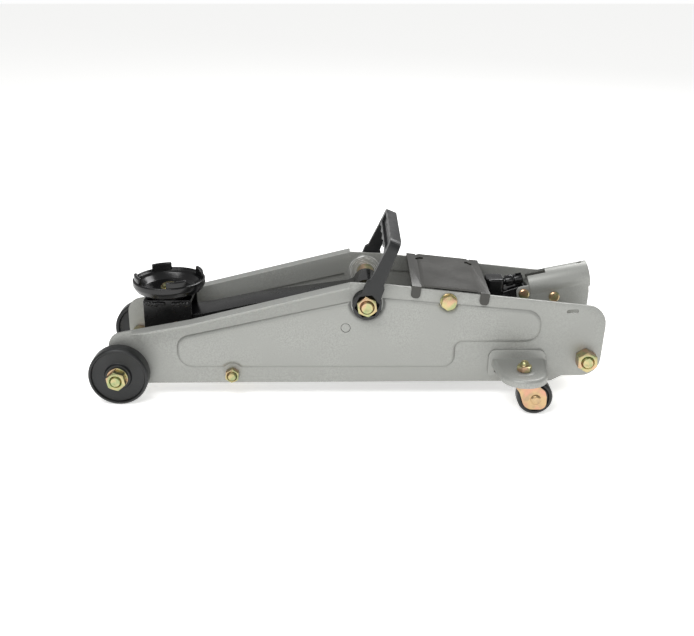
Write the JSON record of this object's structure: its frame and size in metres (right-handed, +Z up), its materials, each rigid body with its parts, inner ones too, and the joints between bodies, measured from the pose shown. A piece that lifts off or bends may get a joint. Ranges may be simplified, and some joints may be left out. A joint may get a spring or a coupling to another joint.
{
  "type": "hydraulic floor jack",
  "caption": "Low hydraulic floor jack: two pressed steel side plates carry a lift arm with a levelled swivelling saddle, a pump unit, a handle socket, front wheels and swivel casters.",
  "frame": {"origin": "on the ground, under the middle of the jack's outline", "axes": "+X towards the handle end, +Y to the right side seen from the handle end, +Z up; the saddle is at -X, lowered"},
  "size_m": [0.5638, 0.24, 0.1841],
  "materials": {
    "silver_paint": "metallic silver-grey paint, satin",
    "black_paint": "gloss black enamel",
    "yellow_zinc": "yellow-passivated zinc plating",
    "black_plastic": "moulded black nylon, satin",
    "ground_steel": "ground and oiled steel",
    "spring_steel": "oiled spring wire"
  },
  "bodies": {
    "chassis": {"side_plate_left": "silver_paint", "caster_bracket_left": "silver_paint", "side_plate_right": "silver_paint", "caster_bracket_right": "silver_paint", "front_axle_rod": "yellow_zinc", "front_axle_spacer": "yellow_zinc", "front_tie_rod": "yellow_zinc", "pivot_shaft": "yellow_zinc", "rear_tie_rod": "yellow_zinc", "axle_washer_left": "yellow_zinc", "axle_nut_left": "yellow_zinc", "front_tie_nut_left": "yellow_zinc", "pivot_nut_left": "yellow_zinc", "rear_tie_nut_left": "yellow_zinc", "side_bolt_left": "yellow_zinc", "link_anchor_left": "yellow_zinc", "axle_washer_right": "yellow_zinc", "axle_nut_right": "yellow_zinc", "front_tie_nut_right": "yellow_zinc", "pivot_nut_right": "yellow_zinc", "rear_tie_nut_right": "yellow_zinc", "side_bolt_right": "yellow_zinc", "link_anchor_right": "yellow_zinc", "cover_plate": "black_paint", "pump_block": "black_paint", "reservoir": "black_paint", "filler_plug": "yellow_zinc", "return_spring_left": "spring_steel", "return_spring_right": "spring_steel", "plunger_spring": "spring_steel"},
    "wheel_left": {"front_wheel_left": "black_plastic"},
    "wheel_right": {"front_wheel_right": "black_plastic"},
    "arm": {"lift_arm": "black_paint", "arm_tip_pin": "yellow_zinc"},
    "bracket": {"saddle_bracket": "black_paint", "link_pin": "yellow_zinc", "saddle_bolt": "yellow_zinc", "saddle_nut": "yellow_zinc"},
    "saddle": {"saddle": "black_paint"},
    "rod_left": {"levelling_rod_left": "black_paint"},
    "rod_right": {"levelling_rod_right": "black_paint"},
    "ram": {"ram": "ground_steel", "ram_pin": "yellow_zinc"},
    "socket": {"handle_socket": "silver_paint", "socket_pivot_pin": "yellow_zinc", "roller_pin": "yellow_zinc"},
    "plunger": {"pump_plunger": "ground_steel"},
    "release_valve": {"release_valve": "black_paint"},
    "carry_handle": {"carry_handle": "black_plastic"},
    "caster_left": {"caster_fork_left": "yellow_zinc", "caster_stud_left": "yellow_zinc", "caster_axle_left": "yellow_zinc"},
    "caster_right": {"caster_fork_right": "yellow_zinc", "caster_stud_right": "yellow_zinc", "caster_axle_right": "yellow_zinc"},
    "caster_wheel_left": {"caster_wheel_left": "black_plastic"},
    "caster_wheel_right": {"caster_wheel_right": "black_plastic"}
  },
  "joints": [
    {"name": "front_wheel_left_roll", "type": "hinge", "parent": "chassis", "child": "wheel_left", "pos_m": [-0.2494, -0.0717, 0.0325], "axis": [0, 1, 0], "continuous": true},
    {"name": "front_wheel_right_roll", "type": "hinge", "parent": "chassis", "child": "wheel_right", "pos_m": [-0.2494, 0.0717, 0.0325], "axis": [0, 1, 0], "continuous": true},
    {"name": "arm_lift", "type": "hinge", "parent": "chassis", "child": "arm", "pos_m": [0.0206, 0, 0.11], "axis": [0, 1, 0], "range_deg": [0, 60]},
    {"name": "bracket_level", "type": "hinge", "parent": "arm", "child": "bracket", "pos_m": [-0.1914, 0, 0.07], "axis": [0, 1, 0], "range_deg": [-61, 0]},
    {"name": "saddle_swivel", "type": "hinge", "parent": "bracket", "child": "saddle", "pos_m": [-0.2014, 0, 0.1013], "axis": [0, 0, 1], "continuous": true},
    {"name": "rod_left_swing", "type": "hinge", "parent": "chassis", "child": "rod_left", "pos_m": [-0.0024, -0.0285, 0.082], "axis": [0, 1, 0], "range_deg": [0, 61]},
    {"name": "rod_right_swing", "type": "hinge", "parent": "chassis", "child": "rod_right", "pos_m": [-0.0024, 0.0285, 0.082], "axis": [0, 1, 0], "range_deg": [0, 61]},
    {"name": "ram_slide", "type": "slide", "parent": "chassis", "child": "ram", "axis": [-1, 0, 0], "range_m": [0, 0.05], "deforming": ["return_spring_left", "return_spring_right"]},
    {"name": "handle_pump", "type": "hinge", "parent": "chassis", "child": "socket", "pos_m": [0.1969, 0, 0.105], "axis": [0, -1, 0], "range_deg": [0, 60]},
    {"name": "plunger_slide", "type": "slide", "parent": "chassis", "child": "plunger", "axis": [0, 0, 1], "range_m": [0, 0.03], "deforming": ["plunger_spring"]},
    {"name": "release_valve_turn", "type": "hinge", "parent": "chassis", "child": "release_valve", "pos_m": [0.1749, 0, 0.115], "axis": [0.9799, 0, 0.1994], "range_deg": [0, 360]},
    {"name": "carry_handle_tilt", "type": "hinge", "parent": "chassis", "child": "carry_handle", "pos_m": [0.0206, 0, 0.11], "axis": [0, 1, 0], "range_deg": [-31, 38]},
    {"name": "caster_left_swivel", "type": "hinge", "parent": "chassis", "child": "caster_left", "pos_m": [0.1879, -0.095, 0.04], "axis": [0, 0, 1], "continuous": true},
    {"name": "caster_left_roll", "type": "hinge", "parent": "caster_left", "child": "caster_wheel_left", "pos_m": [0.1999, -0.095, 0.019], "axis": [0, 1, 0], "continuous": true},
    {"name": "caster_right_swivel", "type": "hinge", "parent": "chassis", "child": "caster_right", "pos_m": [0.1879, 0.095, 0.04], "axis": [0, 0, 1], "continuous": true},
    {"name": "caster_right_roll", "type": "hinge", "parent": "caster_right", "child": "caster_wheel_right", "pos_m": [0.1999, 0.095, 0.019], "axis": [0, 1, 0], "continuous": true}
  ],
  "couplings": [
    {"joint": "bracket_level", "follows": "arm_lift", "ratio": -1},
    {"joint": "rod_left_swing", "follows": "arm_lift", "ratio": 1},
    {"joint": "rod_right_swing", "follows": "arm_lift", "ratio": 1},
    {"joint": "ram_slide", "follows": "arm_lift", "m_per_rad": 0.0475},
    {"joint": "plunger_slide", "follows": "handle_pump", "m_per_rad": 0.0285}
  ]
}
